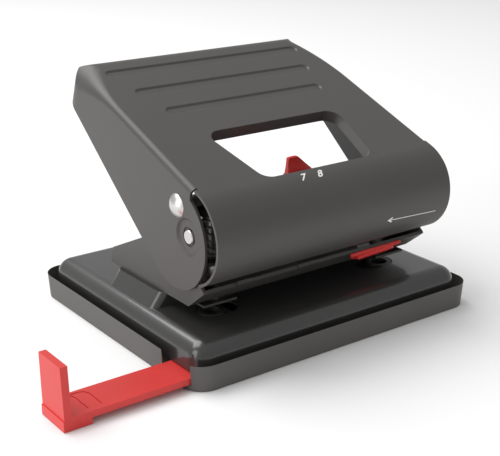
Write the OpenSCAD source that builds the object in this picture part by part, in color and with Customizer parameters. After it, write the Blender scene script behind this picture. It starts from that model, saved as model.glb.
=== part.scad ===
// Two-hole desk punch: a pressed steel base standing in a plastic chip tray, a bridge frame,
// a sprung handle, a spacing selector and a pull-out paper guide.
// Millimetres. X runs along the row of holes, Y to the rear, Z up.
// The origin is the centre of the chip tray's underside.

/* [Holes] */
// Distance between the centres of the two holes at the wide setting
hole_spacing = 80; // [66:1:96]
// Diameter of a punched hole
hole_d = 6; // [5:0.1:7.2]
// Distance from a hole's centre to the edge of the paper
hole_setback = 12; // [10:0.5:14.4]
// How far each punch unit moves inwards for the narrow setting
spacing_shift = 5; // [4.2:0.1:6]
// Height of the slot that the paper slides into
throat_h = 4.3; // [4.1:0.1:5.2]

/* [Chip tray] */
// Depth of the tray from front to rear
tray_d = 111; // [92.5:0.5:133]
// Height of the tray's wall
tray_h = 9.5; // [8:0.1:11.4]
// Thickness of the tray's wall
tray_wall = 1.7; // [1.4:0.1:2]
// Thickness of the tray's floor
tray_floor = 1.6; // [1.3:0.1:1.9]
// Corner radius of the tray seen from above
tray_r = 8.5; // [8:0.1:10]
// How far the tray reaches outside the handle on each side
tray_side = 11.6; // [9.7:0.1:14]
// Gap between the tray's wall and the base plate
tray_gap = 1.8; // [1.5:0.1:2.2]

/* [Base plate] */
// Height of the base plate's top above the table
base_top = 15.2; // [14.6:0.1:18]
// Sheet thickness of the base plate
base_t = 1; // [0.8:0.1:1.2]
// Radius rolled along the base plate's top edge
base_roll = 4.8; // [4:0.1:5]
// Distance from the tray's front to the line of holes
punch_inset = 27; // [25:0.5:30]

/* [Handle] */
// Distance from an outer hole's centre to the outside of the handle
handle_reach = 13.4; // [12.8:0.1:16]
// Sheet thickness of the handle
sheet = 1; // [0.9:0.1:1.2]
// Length of the top panel from above the pivot to the rear edge
handle_len = 89.3; // [76:0.1:100]
// Slope of the top panel at rest, in degrees
handle_slope = 20.4; // [17:0.1:24]
// Radius of the rolled front, about the pivot
curl_r = 17.3; // [17:0.1:18]
// Angle that the rolled front covers, in degrees
curl_angle = 140; // [120:1:142]
// Radius of the cheek's round front lobe
lobe_r = 18.5; // [17.8:0.1:18.7]
// Radius of the bend between top panel and cheeks
bend_r = 2.3; // [2:0.1:2.8]
// Radius of the rolled rear edge
nose_r = 6.8; // [6:0.1:8]
// Depth of the rear corner below the top panel
heel_drop = 14.1; // [13:0.1:15]
// Angle that the handle turns through when pressed, in degrees
press_angle = 40; // [30:1:40]

/* [Window and grooves] */
// Width of the window at its rear edge
window_rear_w = 61; // [50:1:70]
// Width of the window at its front edge
window_front_w = 49; // [40:1:58]
// Depth of the window from front to rear along the panel
window_len = 30.7; // [25:0.1:33]
// Depth of the drawn rim round the window
window_rim = 4.5; // [3:0.1:5]
// Width of a pressed groove
groove_w = 4.6; // [3.8:0.1:5.5]
// Distance from one groove to the next
groove_pitch = 14.3; // [12:0.1:15]
// Depth of a pressed groove
groove_depth = 0.5; // [0.3:0.1:0.6]

/* [Frame and pivot] */
// Sheet thickness of the frame
frame_t = 1.2; // [1:0.1:1.4]
// Gap between the handle's cheek and the frame
cheek_gap = 1; // [0.8:0.1:1.2]
// Length of the frame from the line of holes to its rear
frame_len = 50; // [44:0.5:58]
// Height of the pivot above the base plate
pivot_h = 31.9; // [30:0.1:34]
// Distance of the pivot in front of the line of holes
pivot_lead = 6.3; // [5.5:0.1:7]
// Diameter of a pivot pin
pivot_d = 5; // [4.2:0.1:6]
// Height of the press rod above the pivot
rod_rise = 9.5; // [9:0.1:10.5]
// Diameter of the press rod
rod_d = 5; // [4.2:0.1:6]
// Diameter of the dimple pressed round each pivot pin
dimple_d = 13; // [11:0.1:14]

/* [Spacing selector] */
// Distance of the selector's centre to the left of the middle
selector_x = 6.9; // [5:0.1:9]
// Height of the selector's pivot above the base plate
selector_h = 23.3; // [22:0.1:25]
// Length of each arm of the selector's lever
selector_arm = 11.2; // [10.2:0.1:12]

/* [Paper guide] */
// Width of the guide's bar
guide_w = 15.1; // [13:0.1:17]
// Thickness of the guide's bar
guide_t = 2.3; // [2:0.1:2.6]
// Length of the guide's bar
guide_len = 100; // [84:1:104]
// Distance from the middle to the face that the paper meets
guide_reach = 107; // [100:1:120]
// Height of the upright stop
guide_stop_h = 22; // [20:0.1:28]
// Length of the foot under the guide's outer end
guide_foot = 7; // [4:0.1:9]

/* [Hidden] */
$fn = 64;

// Cutting allowance, and the clearances between pieces
eps = 0.01;
cut = 5;
run_fit = 0.05;
slide_gap = 0.1;
free_gap = 0.3;

// Plan sizes
half_hole = hole_spacing / 2;
handle_hw = half_hole + handle_reach;
frame_hw = handle_hw - sheet - cheek_gap;
tray_hw = handle_hw + tray_side;
tray_hd = tray_d / 2;
base_hw = tray_hw - tray_wall - tray_gap;
base_hd = tray_hd - tray_wall - tray_gap;
base_r = tray_r - tray_wall - tray_gap;
punch_y = punch_inset - tray_hd;
stop_y = punch_y + hole_setback;

// Heights
base_foot = tray_floor + free_gap;
stripper_t = 0.9;
stripper_z = base_top + throat_h;
deck_z = stripper_z + stripper_t + slide_gap;
deck_top = deck_z + frame_t;
jaw_t = 1.3;
jaw_z = base_top - base_t - 0.2 - jaw_t;

// Pivot and press rod
pivot_y = punch_y - pivot_lead;
pivot_z = base_top + pivot_h;
rod_z = pivot_z + rod_rise;
rod_arm = norm([pivot_lead, rod_rise]);
rod_angle = atan2(rod_rise, pivot_lead);
stroke = rod_rise - rod_arm * sin(rod_angle - press_angle);
rivet_head_d = 8.4;
rivet_head_h = 1.9;

// Handle, in its own frame: x across, s along the panel, n square to it
panel_in = curl_r - sheet;
lobe_s = 6.8;
lobe_n = curl_r - 3.8 - lobe_r;
slit_s = 3.5;
slit_relief = 0.8;
flap_hw = handle_hw - 0.4;
nose_s = handle_len - nose_r;
nose_n = curl_r - nose_r;
heel_n = curl_r - heel_drop;
corner_r = 8;
dimple_depth = 0.7;
window_front = 1;
window_rear = window_front + window_len;
window_r = 5;
groove_first = handle_len - 12.8;
groove_half = 45;
groove_step = 4.5;

// Punch units
unit_hw = 7;
pin_r = hole_d / 2;
bore_r = pin_r + run_fit;
die_r = 5.2;
upper_guide_z = base_top + 18.8;
upper_guide_t = 1.5;
web_t = 1.5;
web_front = stop_y + 2.2;
web_rear = web_front + web_t;
wall_front = web_rear + free_gap;
link_t = 1.2;
link_front = web_front - link_t;
cap_r = 5.4;
cap_h = 2.5;
cap_top = rod_z - rod_d / 2 - slide_gap;
cap_socket = 1.8;
tip_z = stripper_z + 0.4;
spring_wire = 0.8;
spring_r = pin_r + spring_wire / 2 + 0.4;
spring_turns = 6;

// Selector: the lever leans towards the wide setting at rest
lever_lean = asin(spacing_shift / 2 / selector_arm);
selector_z = base_top + selector_h;
lever_rear = link_front - free_gap;
lever_front = lever_rear - link_t;
lever_pin_r = 1.5;
slot_r = lever_pin_r + 0.1;
link_hh = 2.4;
ear_in = spacing_shift + unit_hw + 2;
ear_w = 6.5;

// Rivets that hold the bracket, the frame and the base together
rivet_hole_d = 4;
rivet_head = 7;
bracket_front = wall_front;
bracket_foot = 9.5;
bracket_h = 22.3;
bracket_hw = frame_hw - frame_t - 0.7;

// Frame outline
flange_y = punch_y - pin_r - 0.1;
lip_y = flange_y - 9.4;
lip_z = deck_z + 7.5;
frame_rear = punch_y + frame_len;
hub_r = 7;

// Pedestal under the frame
pedestal_hw = frame_hw + 1.6;
pedestal_foot = 5;
pedestal_rear = stop_y + 31.5;

// Paper guide
guide_z = tray_floor + 0.6;
guide_front = -base_hd + base_t + 0.5;
guide_rear = guide_front + guide_w;

// Lock
lock_x = half_hole - 26;
lock_w = 25;
lock_travel = 6;
tongue_x = lock_x + 7;
tongue_w = 6;
finger_w = 6.5;
tongue_r = 14.5;
tongue_t = 1.2;

// ---------- outline helpers ----------

// Points along an arc from angle a0 to a1
function arc(c, r, a0, a1, steps = 10) =
    [for (i = [0:steps]) let (a = a0 + (a1 - a0) * i / steps) c + r * [cos(a), sin(a)]];

function unit(v) = v / norm(v);

// Arc that rounds the corner p between its neighbours a and b
function fillet(a, p, b, r, steps = 8) =
    let (
        u = unit(a - p),
        v = unit(b - p),
        half = acos(u * v) / 2,
        c = p + unit(u + v) * r / sin(half),
        from = p + u * r / tan(half) - c,
        to = p + v * r / tan(half) - c,
        a0 = atan2(from[1], from[0]),
        turn = (atan2(to[1], to[0]) - a0 + 540) % 360 - 180
    ) arc(c, r, a0, a0 + turn, steps);

// Closed outline whose corners are rounded by the radii in rs, 0 for a sharp one
function rounded(pts, rs) =
    let (n = len(pts))
    [for (i = [0:n - 1])
        let (r = rs[i])
        each (r > 0 ? fillet(pts[(i + n - 1) % n], pts[i], pts[(i + 1) % n], r) : [pts[i]])];

function plan(hw, hd, r) =
    rounded([[-hw, -hd], [hw, -hd], [hw, hd], [-hw, hd]], [r, r, r, r]);

// Strip of thickness t on the left of a path of points
function strip(path, t) =
    let (
        n = len(path),
        left = [for (i = [0:n - 1])
            let (
                d0 = unit(path[max(i, 1)] - path[max(i, 1) - 1]),
                d1 = unit(path[min(i, n - 2) + 1] - path[min(i, n - 2)]),
                n0 = [-d0[1], d0[0]],
                n1 = [-d1[1], d1[0]]
            ) path[i] + t * (n0 + n1) / (1 + n0 * n1)]
    ) concat(path, [for (i = [n - 1:-1:0]) left[i]]);

// Extrudes an outline given in (y, z) across the width from x0 to x1
module across(x0, x1) {
    translate([x0, 0, 0]) rotate([90, 0, 90]) linear_extrude(x1 - x0) children();
}

// Extrudes an outline given in (x, z) from y0 to y1
module along(y0, y1) {
    translate([0, y1, 0]) rotate([90, 0, 0]) linear_extrude(y1 - y0) children();
}

module box(x0, x1, y0, y1, z0, z1) {
    translate([x0, y0, z0]) cube([x1 - x0, y1 - y0, z1 - z0]);
}

// Cylinder along X between x0 and x1, at (y, z)
module rod_x(x0, x1, y, z, r) {
    translate([x0, y, z]) rotate([0, 90, 0]) cylinder(r = r, h = x1 - x0);
}

// Cylinder along Y between y0 and y1, at (x, z)
module rod_y(y0, y1, x, z, r) {
    translate([x, y1, z]) rotate([90, 0, 0]) cylinder(r = r, h = y1 - y0);
}

// Domed rivet head standing on z = 0
module dome(d, h) {
    ball = (d * d / 4 + h * h) / (2 * h);
    intersection() {
        translate([0, 0, h - ball]) sphere(r = ball);
        cylinder(d = d, h = h);
    }
}

// Slot with round ends along X, from x0 to x1 between its end centres
module slot(x0, x1, y, r, z0, z1) {
    box(x0, x1, y - r, y + r, z0, z1);
    for (x = [x0, x1]) translate([x, y, z0]) cylinder(r = r, h = z1 - z0);
}

// Puts its children in the handle's frame
module on_handle() {
    translate([0, pivot_y, pivot_z]) rotate([handle_slope, 0, 0]) children();
}

// Puts its children in the selector lever's frame, centred on its stud
module on_lever() {
    translate([-selector_x, 0, selector_z]) rotate([0, lever_lean, 0]) children();
}

// Slab with round corners seen from above and a rolled top edge
module rolled_slab(hw, hd, r, roll, z0, z1) {
    edge = concat([[0, z0], [r, z0]], arc([r - roll, z1 - roll], roll, 0, 90), [[0, z1]]);
    box(r - hw, hw - r, r - hd, hd - r, z0, z1);
    for (x = [-1, 1], y = [-1, 1])
        translate([x * (hw - r), y * (hd - r), 0]) rotate_extrude() polygon(edge);
    for (side = [0, 180]) rotate([0, 0, side]) {
        translate([hw - r, 0, 0]) along(r - hd, hd - r) polygon(edge);
        rotate([0, 0, 90]) translate([hd - r, 0, 0]) along(r - hw, hw - r) polygon(edge);
    }
}

// ---------- chip tray and base ----------

module chip_tray() color([0.2, 0.19, 0.19]) {
    rib = 1.2;
    lip = 1.5;
    notch = free_gap + 0.2;
    difference() {
        linear_extrude(tray_h) polygon(plan(tray_hw, tray_hd, tray_r));
        translate([0, 0, tray_floor]) linear_extrude(tray_h)
            polygon(plan(tray_hw - tray_wall, tray_hd - tray_wall, tray_r - tray_wall));
        box(-tray_hw - cut, -tray_hw + tray_r - 4, guide_front - notch, guide_rear + notch,
            guide_z - 0.2, tray_h + cut);
    }
    // Rail behind the guide's bar, with a lip over it
    rail_x0 = -base_hw + base_t + 2;
    rail_x1 = 40;
    box(rail_x0, rail_x1, guide_rear + notch, guide_rear + notch + rib, tray_floor, guide_z + guide_t + 1.1);
    box(rail_x0, rail_x1, guide_rear - lip, guide_rear + notch + rib, guide_z + guide_t + 0.3,
        guide_z + guide_t + 1.1);
    // Low runners that carry the bar
    for (y = [guide_front + 3, guide_rear - 4])
        box(rail_x0, rail_x1, y, y + 1, tray_floor, guide_z - slide_gap);
}

// Cross-section of the raised pad that carries the frame, shrunk by the sheet for its hollow
function pedestal_section(t) = [
    [-pedestal_hw - pedestal_foot + t, base_top - base_t], [-pedestal_hw + t, deck_z - t],
    [pedestal_hw - t, deck_z - t], [pedestal_hw + pedestal_foot - t, base_top - base_t]
];

module base_plate() color([0.13, 0.13, 0.13]) difference() {
    union() {
        difference() {
            rolled_slab(base_hw, base_hd, base_r, base_roll, base_foot, base_top);
            rolled_slab(base_hw - base_t, base_hd - base_t, base_r - base_t, base_roll - base_t,
                base_foot - cut, base_top - base_t);
        }
        along(stop_y, pedestal_rear) polygon(pedestal_section(0));
    }
    along(stop_y + base_t, pedestal_rear - base_t) polygon(concat(
        [[-pedestal_hw - pedestal_foot + base_t, base_top - base_t - eps]],
        pedestal_section(base_t),
        [[pedestal_hw + pedestal_foot - base_t, base_top - base_t - eps]]));
    // Openings for the dies and for the webs of the punch units
    for (side = [0, 1]) mirror([side, 0, 0]) {
        slot(half_hole - spacing_shift, half_hole, punch_y, die_r + free_gap,
            base_top - base_t - 1, base_top + 1);
        box(half_hole - spacing_shift - unit_hw - 0.5, half_hole + unit_hw + 0.5, stop_y - 0.5,
            wall_front + 0.2, stripper_z - free_gap, deck_z + 1);
    }
    // Way through the left wall for the paper guide
    box(-base_hw - 1, -base_hw + base_r + 1, guide_front - 0.3, guide_rear + 0.3, base_foot - 1,
        guide_z + guide_t + 0.4);
    rivet_places() cylinder(d = rivet_hole_d + 0.04, h = 100);
}

// ---------- frame, bracket and fixed pins ----------

// Rivet axes: a front row through the bracket's foot and a rear row
module rivet_places() {
    for (x = [-half_hole - 4, -half_hole + 18, half_hole - 18, half_hole + 4])
        translate([x, wall_front + 6, 0]) children();
    for (x = [-half_hole, half_hole]) translate([x, punch_y + 37.5, 0]) children();
}

// Side plate: rises from the deck to the pivot and stays clear of the rolled front
function side_outline() =
    let (
        pivot = [pivot_y, pivot_z],
        inner = panel_in - 0.8,
        curl_end = handle_slope + 90 + curl_angle,
        from = 180 + acos(hub_r / inner),
        to = max(from + 2, curl_end + 5)
    ) concat(
        [[flange_y, deck_z]],
        rounded([[frame_rear, deck_z], [frame_rear - 1.8, deck_z + 6.4]], [0, 0]),
        fillet([frame_rear - 1.8, deck_z + 6.4], [pivot_y + 19.8, pivot_z - 3.9],
            [pivot_y + 7, pivot_z - 3.1], 6),
        arc(pivot, hub_r, -25, 180, 16),
        arc(pivot, inner, from, to, 6),
        [pivot + (curl_r + 0.6) * [cos(to), sin(to)], [lip_y + 0.4, lip_z + 0.8], [lip_y, lip_z]]
    );

module frame() color([0.15, 0.15, 0.15]) difference() {
    union() {
        across(-frame_hw, frame_hw)
            polygon(strip([[lip_y, lip_z], [flange_y, deck_z], [frame_rear, deck_z]], frame_t));
        for (x = [-frame_hw, frame_hw - frame_t]) across(x, x + frame_t) polygon(side_outline());
        // Low tabs along the lip
        on_flange() {
            box(-half_hole + 2.5, -half_hole + 8.7, 11.5, 12.9, -frame_t, 0);
            box(-10.7, 13.9, 11.5, 12.9, -frame_t, 0);
        }
    }
    rod_x(-frame_hw - 1, frame_hw + 1, pivot_y, pivot_z, pivot_d / 2 + 0.02);
    for (side = [0, 1]) mirror([side, 0, 0]) {
        slot(half_hole - spacing_shift, half_hole, punch_y, pin_r + 0.6, deck_z - 1, deck_top + 1.5);
        box(half_hole - spacing_shift - unit_hw - 0.5, half_hole + unit_hw + 0.5, web_front - 0.4,
            web_rear + 0.2, deck_z - 1, deck_top + 1);
    }
    on_flange() box(tongue_x - 0.3, tongue_x + 4.3 + lock_travel, 6.6, 9.4, -3, 1);
    rivet_places() cylinder(d = rivet_hole_d + 0.04, h = 100);
}

// Puts its children on the frame's front flange: u along it, v outwards
module on_flange() {
    translate([0, flange_y, deck_z]) rotate([atan2(lip_z - deck_z, lip_y - flange_y), 0, 0]) children();
}

module guide_bracket() color([0.17, 0.17, 0.17]) difference() {
    across(-bracket_hw, bracket_hw) polygon(strip([
        [bracket_front + bracket_foot, deck_top],
        [bracket_front, deck_top],
        [bracket_front, deck_top + bracket_h]], -frame_t));
    rivet_places() cylinder(d = rivet_hole_d + 0.04, h = 100);
    rod_y(bracket_front - 1, bracket_front + 2, -selector_x, selector_z, 2.02);
}

module frame_rivets() color([0.72, 0.72, 0.69]) {
    for (x = [-half_hole - 4, -half_hole + 18, half_hole - 18, half_hole + 4])
        translate([x, wall_front + 6, 0]) rivet(deck_top + frame_t);
    for (x = [-half_hole, half_hole]) translate([x, punch_y + 37.5, 0]) rivet(deck_top);
}

// Rivet from under the raised pad to a domed head standing on z = top
module rivet(top) {
    translate([0, 0, top]) dome(rivet_head, 1.7);
    translate([0, 0, deck_z - base_t]) cylinder(d = rivet_hole_d, h = top - deck_z + base_t + 0.3);
    translate([0, 0, deck_z - base_t - 0.8]) cylinder(d = rivet_hole_d + 1.6, h = 0.8);
}

module pivot_pin() color([0.62, 0.61, 0.59]) {
    rod_x(frame_hw - frame_t, handle_hw - 0.2, pivot_y, pivot_z, pivot_d / 2);
    rod_x(frame_hw - frame_t - 1.5, frame_hw - frame_t, pivot_y, pivot_z, pivot_d / 2 + 2);
}

module pivot_pin_right() pivot_pin();

module pivot_pin_left() mirror([1, 0, 0]) pivot_pin();

module selector_stud() color([0.62, 0.61, 0.59]) {
    rod_y(lever_rear + 0.05, wall_front, -selector_x, selector_z, 3.2);
    rod_y(lever_front - 0.1, lever_rear + 0.06, -selector_x, selector_z, 2);
    rod_y(lever_front - 1.3, lever_front - 0.09, -selector_x, selector_z, 3.4);
    rod_y(wall_front - 0.01, wall_front + frame_t, -selector_x, selector_z, 2);
    rod_y(wall_front + frame_t, wall_front + frame_t + 0.9, -selector_x, selector_z, 3);
}

// ---------- handle ----------

// Side view of the cheek, from its low tangent round the front to the rear corner
function cheek_outline() =
    let (
        centre = [lobe_s, lobe_n],
        heel = [handle_len, heel_n],
        to_heel = heel - centre,
        low = atan2(to_heel[1], to_heel[0]) - acos(lobe_r / norm(to_heel)) + 360,
        low_point = centre + lobe_r * [cos(low), sin(low)]
    ) concat(
        arc(centre, lobe_r, low, 102, 28), [[slit_s, panel_in - 1.2], [slit_s, curl_r]],
        arc([nose_s, nose_n], nose_r, 90, 0, 10),
        fillet([handle_len, nose_n], heel, low_point, 1.5)
    );

// Section across the top panel, with the bends down to the cheeks
function bend_section(hw, top, r) = concat(
    [[-hw, -40]], arc([-hw + r, top - r], r, 180, 90, 8), arc([hw - r, top - r], r, 90, 0, 8), [[hw, -40]]);

// Window outline, grown by g
function window_outline(g) =
    let (
        lean = (window_rear_w - window_front_w) / 2 / window_len,
        grow = g * norm([1, lean]),
        front = window_front_w / 2 + grow - g * lean,
        rear = window_rear_w / 2 + grow + g * lean,
        r = window_r + g
    ) rounded([
        [-front, window_front - g], [front, window_front - g],
        [rear, window_rear + g], [-rear, window_rear + g]], [r, r, r, r]);

// Prism standing along n, from n0 to n1, on an outline in (x, s)
module upright(n0, n1) {
    translate([0, 0, n0]) linear_extrude(n1 - n0) children();
}

// Solid that follows the outside of the pressed sheet, smaller by t all round
module pressing(t) {
    hw = handle_hw - t;
    intersection() {
        across(-hw, hw) children();
        translate([0, 100, 0]) along(-200, 100) polygon(bend_section(hw, curl_r - t, bend_r - t));
        upright(-60, 40) polygon(rounded([
            [-hw, -60], [hw, -60], [hw, handle_len - t], [-hw, handle_len - t]],
            [0, 0, corner_r - t, corner_r - t]));
    }
}

module handle() color([0.36, 0.34, 0.33]) on_handle() difference() {
    union() {
        difference() {
            pressing(0) polygon(cheek_outline());
            pressing(sheet) polygon(concat(
                [[-40, -38], [-40, panel_in]],
                arc([nose_s, nose_n], nose_r - sheet, 90, 0, 10),
                [[handle_len - sheet, -38]]));
        }
        // Rolled front, as wide as the handle, with a relief slit between it and each bend
        rotate([90, 0, 90]) rotate([0, 0, 90]) rotate_extrude(angle = curl_angle)
            translate([panel_in, -flap_hw]) square([sheet, 2 * flap_hw]);
        box(-flap_hw, flap_hw, 0, slit_s - slit_relief, panel_in, curl_r);
        box(bend_r - handle_hw, handle_hw - bend_r, 0, slit_s + 1, panel_in, curl_r);
        // Drawn rim of the window
        intersection() {
            upright(curl_r - window_rim, curl_r - sheet / 2) polygon(window_outline(sheet));
            box(-handle_hw, handle_hw, 3, handle_len, 0, 40);
        }
        // Backs of the grooves
        for (i = [0:2]) groove(i, 0, panel_in - groove_depth, panel_in + 0.2);
        for (side = [0, 1]) mirror([side, 0, 0])
            rod_x(handle_hw - sheet - dimple_depth, handle_hw - sheet + 0.1, 0, 0, dimple_d / 2 + 0.6);
    }
    upright(0, 40) polygon(window_outline(0));
    for (i = [0:2]) groove(i, 0.6, curl_r - groove_depth, curl_r + 1);
    for (side = [0, 1]) mirror([side, 0, 0]) {
        rod_x(handle_hw - dimple_depth, handle_hw + 2, 0, 0, dimple_d / 2);
        rod_x(handle_hw - 4, handle_hw + 2, 0, 0, pivot_d / 2 + run_fit);
        in_rod_place() rod_x(handle_hw - 4, handle_hw + 2, 0, 0, rod_d / 2 + 0.02);
    }
}

// Moves from the pivot to the press rod, in the handle's frame
module in_rod_place() {
    a = rod_angle - handle_slope;
    translate([0, rod_arm * cos(a), rod_arm * sin(a)]) children();
}

// Groove number i from the rear, drawn in by g at its edge
module groove(i, g, n0, n1) {
    r = groove_w / 2 - g;
    half = groove_half - i * groove_step - groove_w / 2;
    slot(-half, half, groove_first - i * groove_pitch, r, n0, n1);
}

module press_rod() color([0.62, 0.61, 0.59]) {
    rod_x(-handle_hw - 0.2, handle_hw + 0.2, pivot_y + pivot_lead, rod_z, rod_d / 2);
    for (side = [0, 1]) mirror([side, 0, 0])
        translate([handle_hw, pivot_y + pivot_lead, rod_z]) rotate([0, 90, 0])
            dome(rivet_head_d, rivet_head_h);
}

// Welded stop inside the rolled front
module lock_catch() color([0.3, 0.3, 0.3])
    translate([0, pivot_y, pivot_z]) rotate([90, 0, 90]) rotate([0, 0, 243.5])
        rotate_extrude(angle = 5) translate([13.2, tongue_x + tongue_w + finger_w + 1])
            square([panel_in - 13.2, 4.5]);

// ---------- punch units ----------

module carriage() color([0.55, 0.55, 0.54]) {
    x0 = half_hole - unit_hw;
    x1 = half_hole + unit_hw;
    difference() {
        union() {
            box(x0, x1, web_front, web_rear, jaw_z, upper_guide_z + upper_guide_t);
            box(x0, x1, punch_y - 6, web_front + eps, jaw_z, jaw_z + jaw_t);
            box(x0, x1, punch_y - 6, web_front + eps, stripper_z, stripper_z + stripper_t);
            box(x0, x1, punch_y - 5.6, web_front + eps, upper_guide_z, upper_guide_z + upper_guide_t);
            // Ear that the link is riveted to
            box(x0 - ear_w - 0.5, x0 + eps, web_front, web_rear, deck_top + 2.3, deck_top + 12.3);
        }
        translate([half_hole, punch_y, 0]) {
            translate([0, 0, jaw_z - 1]) cylinder(r = die_r + 0.02, h = jaw_t + 2);
            translate([0, 0, stripper_z - 1]) cylinder(r = bore_r, h = 30);
        }
        link_rivet_places() rod_y(-1, web_t + 1, 0, 0, 1.02);
    }
}

// Two rivets through the ear, from the web's front face
module link_rivet_places() {
    for (z = [deck_top + 5, deck_top + 9.6])
        translate([half_hole - unit_hw - ear_w / 2 - 0.5, web_front, z]) children();
}

module die() color([0.6, 0.6, 0.59]) translate([half_hole, punch_y, jaw_z]) difference() {
    cylinder(r = die_r, h = base_top - jaw_z);
    translate([0, 0, -1]) cylinder(r = bore_r, h = 6);
}

module punch_pin() color([0.7, 0.7, 0.69]) difference() {
    translate([half_hole, punch_y, tip_z]) cylinder(r = pin_r, h = cap_top - cap_h + cap_socket - tip_z);
    // Hollow cutting edge
    rod_y(punch_y - 5, punch_y + 5, half_hole, tip_z - 4.5, 5.3);
}

module pin_cap() color([0.2, 0.2, 0.2]) translate([half_hole, punch_y, cap_top - cap_h]) difference() {
    cylinder(r = cap_r, h = cap_h);
    translate([0, 0, -1]) cylinder(r = pin_r, h = cap_socket + 1);
}

// Coil between the upper guide and the cap
module punch_spring() color([0.6, 0.6, 0.58]) {
    steps = 20 * spring_turns;
    sides = 8;
    low = upper_guide_z + upper_guide_t + spring_wire / 2 + 0.05;
    high = cap_top - cap_h - spring_wire / 2 - 0.05;
    pts = [for (i = [0:steps], j = [0:sides - 1]) let (
        turn = 360 * spring_turns * i / steps,
        r = spring_r + spring_wire / 2 * cos(360 * j / sides)
    ) [r * cos(turn), r * sin(turn),
        low + (high - low) * i / steps + spring_wire / 2 * sin(360 * j / sides)]];
    walls = [for (i = [0:steps - 1], j = [0:sides - 1]) let (k = (j + 1) % sides)
        [i * sides + j, (i + 1) * sides + j, (i + 1) * sides + k, i * sides + k]];
    translate([half_hole, punch_y, 0]) polyhedron(pts, concat(
        walls, [[for (j = [0:sides - 1]) j], [for (j = [sides - 1:-1:0]) steps * sides + j]]),
        convexity = 10);
}

module carriage_right() carriage();

module carriage_left() mirror([1, 0, 0]) carriage();

module die_right() die();

module die_left() mirror([1, 0, 0]) die();

module punch_pin_right() punch_pin();

module punch_pin_left() mirror([1, 0, 0]) punch_pin();

module pin_cap_right() pin_cap();

module pin_cap_left() mirror([1, 0, 0]) pin_cap();

module spring_right() punch_spring();

module spring_left() mirror([1, 0, 0]) punch_spring();

// ---------- spacing selector ----------

// Link that hangs on the lever's upper pin and reaches down to the right unit
module link_right() color([0.5, 0.5, 0.49]) {
    pin_x = -selector_x + spacing_shift / 2;
    pin_z = selector_z + selector_arm * cos(lever_lean);
    tail = half_hole - unit_hw - 0.5;
    difference() {
        along(link_front, web_front) polygon(concat(
            arc([pin_x, pin_z], 3, 210, 60, 8),
            [[pin_x + 4, pin_z + 1], [tail, pin_z + 1],
            [tail, deck_top + 2.3], [tail - ear_w, deck_top + 2.3],
            [tail - ear_w, pin_z - 3], [pin_x + 2, pin_z - 3]]));
        pin_slot(pin_x, pin_z);
        link_rivet_places() rod_y(-3, 3, 0, 0, 1.02);
    }
}

// Link from the lever's lower pin across to the left unit
module link_left() color([0.5, 0.5, 0.49]) {
    pin_x = -selector_x - spacing_shift / 2;
    pin_z = selector_z - selector_arm * cos(lever_lean);
    tail = half_hole - unit_hw - 0.5;
    difference() {
        along(link_front, web_front) polygon([
            [-tail, deck_top + 2.3], [pin_x + 2, deck_top + 2.3], [pin_x + 3, pin_z - 1.5],
            [pin_x + 3, pin_z + 2], [pin_x + 1, pin_z + 3],
            [ear_w - tail, pin_z + 3], [ear_w - tail, deck_top + 12.3],
            [-tail, deck_top + 12.3]]);
        pin_slot(pin_x, pin_z);
        mirror([1, 0, 0]) link_rivet_places() rod_y(-3, 3, 0, 0, 1.02);
    }
}

// Upright slot for a pin of the lever
module pin_slot(x, z) {
    rise = selector_arm * (1 - cos(lever_lean)) + 0.1;
    for (d = [-rise, rise]) rod_y(link_front - 1, web_front + 1, x, z + d, slot_r);
    box(x - slot_r, x + slot_r, link_front - 1, web_front + 1, z - rise, z + rise);
}

module link_rivets() color([0.66, 0.65, 0.63]) link_rivet_places() {
    rod_y(-link_t, web_t, 0, 0, 1);
    translate([0, -link_t, 0]) rotate([90, 0, 0]) dome(3.6, 0.8);
}

module link_rivets_right() link_rivets();

module link_rivets_left() mirror([1, 0, 0]) link_rivets();

module selector_lever() color([0.6, 0.6, 0.58]) on_lever() {
    difference() {
        along(lever_front, lever_rear) polygon(concat(
            arc([0, selector_arm], 3, 0, 180, 12), arc([0, -selector_arm], 3, 180, 360, 12)));
        rod_y(lever_front - 1, lever_rear + 1, 0, 0, 2 + run_fit);
    }
    for (z = [-selector_arm, selector_arm]) rod_y(lever_rear - eps, web_front - 0.1, 0, z, lever_pin_r);
}

module pointer() color([0.8, 0.12, 0.13]) {
    foot = selector_z + selector_arm * cos(lever_lean);
    tip = pivot_z + 17.2;
    neck = pivot_z + 10;
    at = -selector_x + spacing_shift;
    front_r = rod_arm + rod_d / 2 + free_gap + 0.2;
    rear_r = front_r + 1.4;
    // Rises round the press rod's path, then stands up behind the window's front edge
    intersection() {
        across(-60, 60) polygon(concat(
            [[lever_front, foot], [lever_front, foot + 2.9]],
            arc([pivot_y, pivot_z], rear_r, 24, 54, 10), [[punch_y + 3.6, tip], [punch_y + 2.3, tip]],
            arc([pivot_y, pivot_z], front_r, 58, 14, 12)));
        along(punch_y - 5, 0) polygon([
            [at - 5.4, foot - 1], [at + 6, foot - 1], [at + 9.5, neck + 1.1], [at + 2, tip], [at - 1.9, tip],
            [at - 2.5, tip - 0.7], [at - 1.6, neck], [at - 5.4, neck - 3]]);
    }
}

// ---------- paper guide and lock ----------

module paper_guide() color([0.88, 0.3, 0.32]) difference() {
    union() {
        box(-guide_reach - eps, -guide_reach + guide_len, guide_front, guide_rear,
            guide_z, guide_z + guide_t);
        box(-guide_reach - 3, -guide_reach, guide_front, guide_rear, 0, guide_stop_h);
        box(-guide_reach - 3, -guide_reach + guide_foot, guide_front, guide_rear, 0, guide_z + eps);
    }
    // Size marks pressed into the top
    for (x = [9, 13]) box(-guide_reach + x, -guide_reach + x + 0.6, guide_front + 2.5, guide_rear - 2.5,
        guide_z + guide_t - 0.3, guide_z + guide_t + 1);
}

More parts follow.
